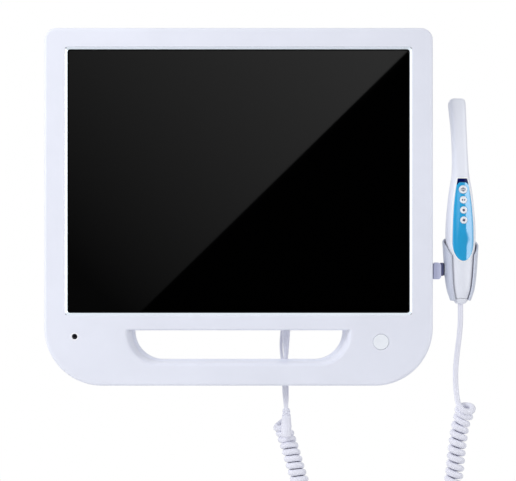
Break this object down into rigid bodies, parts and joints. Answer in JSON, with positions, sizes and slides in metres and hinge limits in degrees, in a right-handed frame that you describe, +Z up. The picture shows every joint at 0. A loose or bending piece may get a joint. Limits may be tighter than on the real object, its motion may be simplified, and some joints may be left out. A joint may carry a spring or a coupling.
{
  "type": "intraoral camera",
  "caption": "Dental intraoral camera set: white handpiece with blue button panel in a swivelling side holder, curly cord, and a monitor with a hand-hold.",
  "frame": {"origin": "centre of the VESA pad on the monitor's back, on the pad's face", "axes": "+Y out of the back of the monitor, so the screen faces -Y; +Z up; +X to the viewer's right"},
  "size_m": [0.4372, 0.0575, 0.5645],
  "materials": {
    "case_plastic": "fine satin moulded white with a cool lavender tint",
    "button_plastic": "smooth white",
    "holder_plastic": "satin moulded white, slightly greyer than the casing",
    "grip_plastic": "smooth satin white",
    "panel_blue": "high-gloss clear-coated sky blue",
    "panel_navy": "dark glossy window",
    "screen_glass": "near-mirror black glass",
    "smoked_window": "smoked window",
    "grey_plastic": "dark blue-grey moulded",
    "black_plastic": "moulded black",
    "display_module": "pressed frame round glass, light guide and film sheets",
    "steel": "plated sheet and screws",
    "brass": "knurled thread inserts",
    "circuit_board": "green solder mask",
    "led_plastic": "warm white lamps on a pale ring",
    "foam": "closed-cell foam tape",
    "cord_jacket": "satin PVC jacket"
  },
  "bodies": {
    "monitor": {"front_bezel": "case_plastic", "rear_cover": "case_plastic", "holder_base": "holder_plastic", "screen_glass": "screen_glass", "infrared_window": "smoked_window", "swivel_stub": "grey_plastic", "camera_socket": "black_plastic", "dc_inlet": "black_plastic", "power_switch": "black_plastic", "infrared_receiver": "black_plastic", "lcd_panel": "display_module", "lcd_bracket_left": "steel", "lcd_bracket_right": "steel", "swivel_screw": "steel", "case_screw_1": "steel", "case_screw_2": "steel", "case_screw_3": "steel", "case_screw_4": "steel", "case_screw_5": "steel", "case_screw_6": "steel", "vesa_insert_1": "brass", "vesa_insert_2": "brass", "vesa_insert_3": "brass", "vesa_insert_4": "brass", "main_board": "circuit_board", "power_board": "circuit_board", "button_board": "circuit_board", "adhesive_pad": "foam", "curly_cord": "cord_jacket", "splitter_sleeve": "cord_jacket", "video_lead": "cord_jacket", "power_lead": "cord_jacket", "camera_plug": "cord_jacket"},
    "power_button": {"power_button": "button_plastic"},
    "cradle": {"cradle": "holder_plastic", "swivel_washer": "black_plastic"},
    "handpiece": {"front_shell": "grip_plastic", "rear_shell": "grip_plastic", "end_cap": "grip_plastic", "blue_panel": "panel_blue", "indicator_window": "panel_navy", "handpiece_board": "circuit_board", "tact_switch_1": "black_plastic", "tact_switch_2": "black_plastic", "tact_switch_3": "black_plastic", "tact_switch_4": "black_plastic", "sensor_board": "circuit_board", "lens_barrel": "black_plastic", "led_ring": "led_plastic", "lens_window": "smoked_window", "cable_clamp": "grey_plastic", "shell_screw_1": "steel", "shell_screw_2": "steel", "handpiece_lead": "cord_jacket"},
    "capture_button": {"capture_button": "button_plastic"},
    "mirror_button": {"mirror_button": "button_plastic"},
    "display_button": {"display_button": "button_plastic"},
    "light_button": {"light_button": "button_plastic"}
  },
  "joints": [
    {"name": "power_button_press", "type": "slide", "parent": "monitor", "child": "power_button", "axis": [0, 1, 0], "range_m": [0, 0.001], "stiffness_N_per_m": 800},
    {"name": "cradle_swivel", "type": "hinge", "parent": "monitor", "child": "cradle", "pos_m": [0.2085, -0.028, -0.0797], "axis": [1, 0, 0], "range_deg": [-25, 25]},
    {"name": "handpiece_lift", "type": "slide", "parent": "cradle", "child": "handpiece", "axis": [0, 0, 1], "range_m": [0, 0.08]},
    {"name": "capture_button_press", "type": "slide", "parent": "handpiece", "child": "capture_button", "axis": [-0.1219, 0.9925, 0], "range_m": [0, 0.0005], "stiffness_N_per_m": 900},
    {"name": "mirror_button_press", "type": "slide", "parent": "handpiece", "child": "mirror_button", "axis": [-0.1219, 0.9925, 0], "range_m": [0, 0.0005], "stiffness_N_per_m": 900},
    {"name": "display_button_press", "type": "slide", "parent": "handpiece", "child": "display_button", "axis": [-0.1219, 0.9925, 0], "range_m": [0, 0.0005], "stiffness_N_per_m": 900},
    {"name": "light_button_press", "type": "slide", "parent": "handpiece", "child": "light_button", "axis": [-0.1219, 0.9925, 0], "range_m": [0, 0.0005], "stiffness_N_per_m": 900}
  ]
}
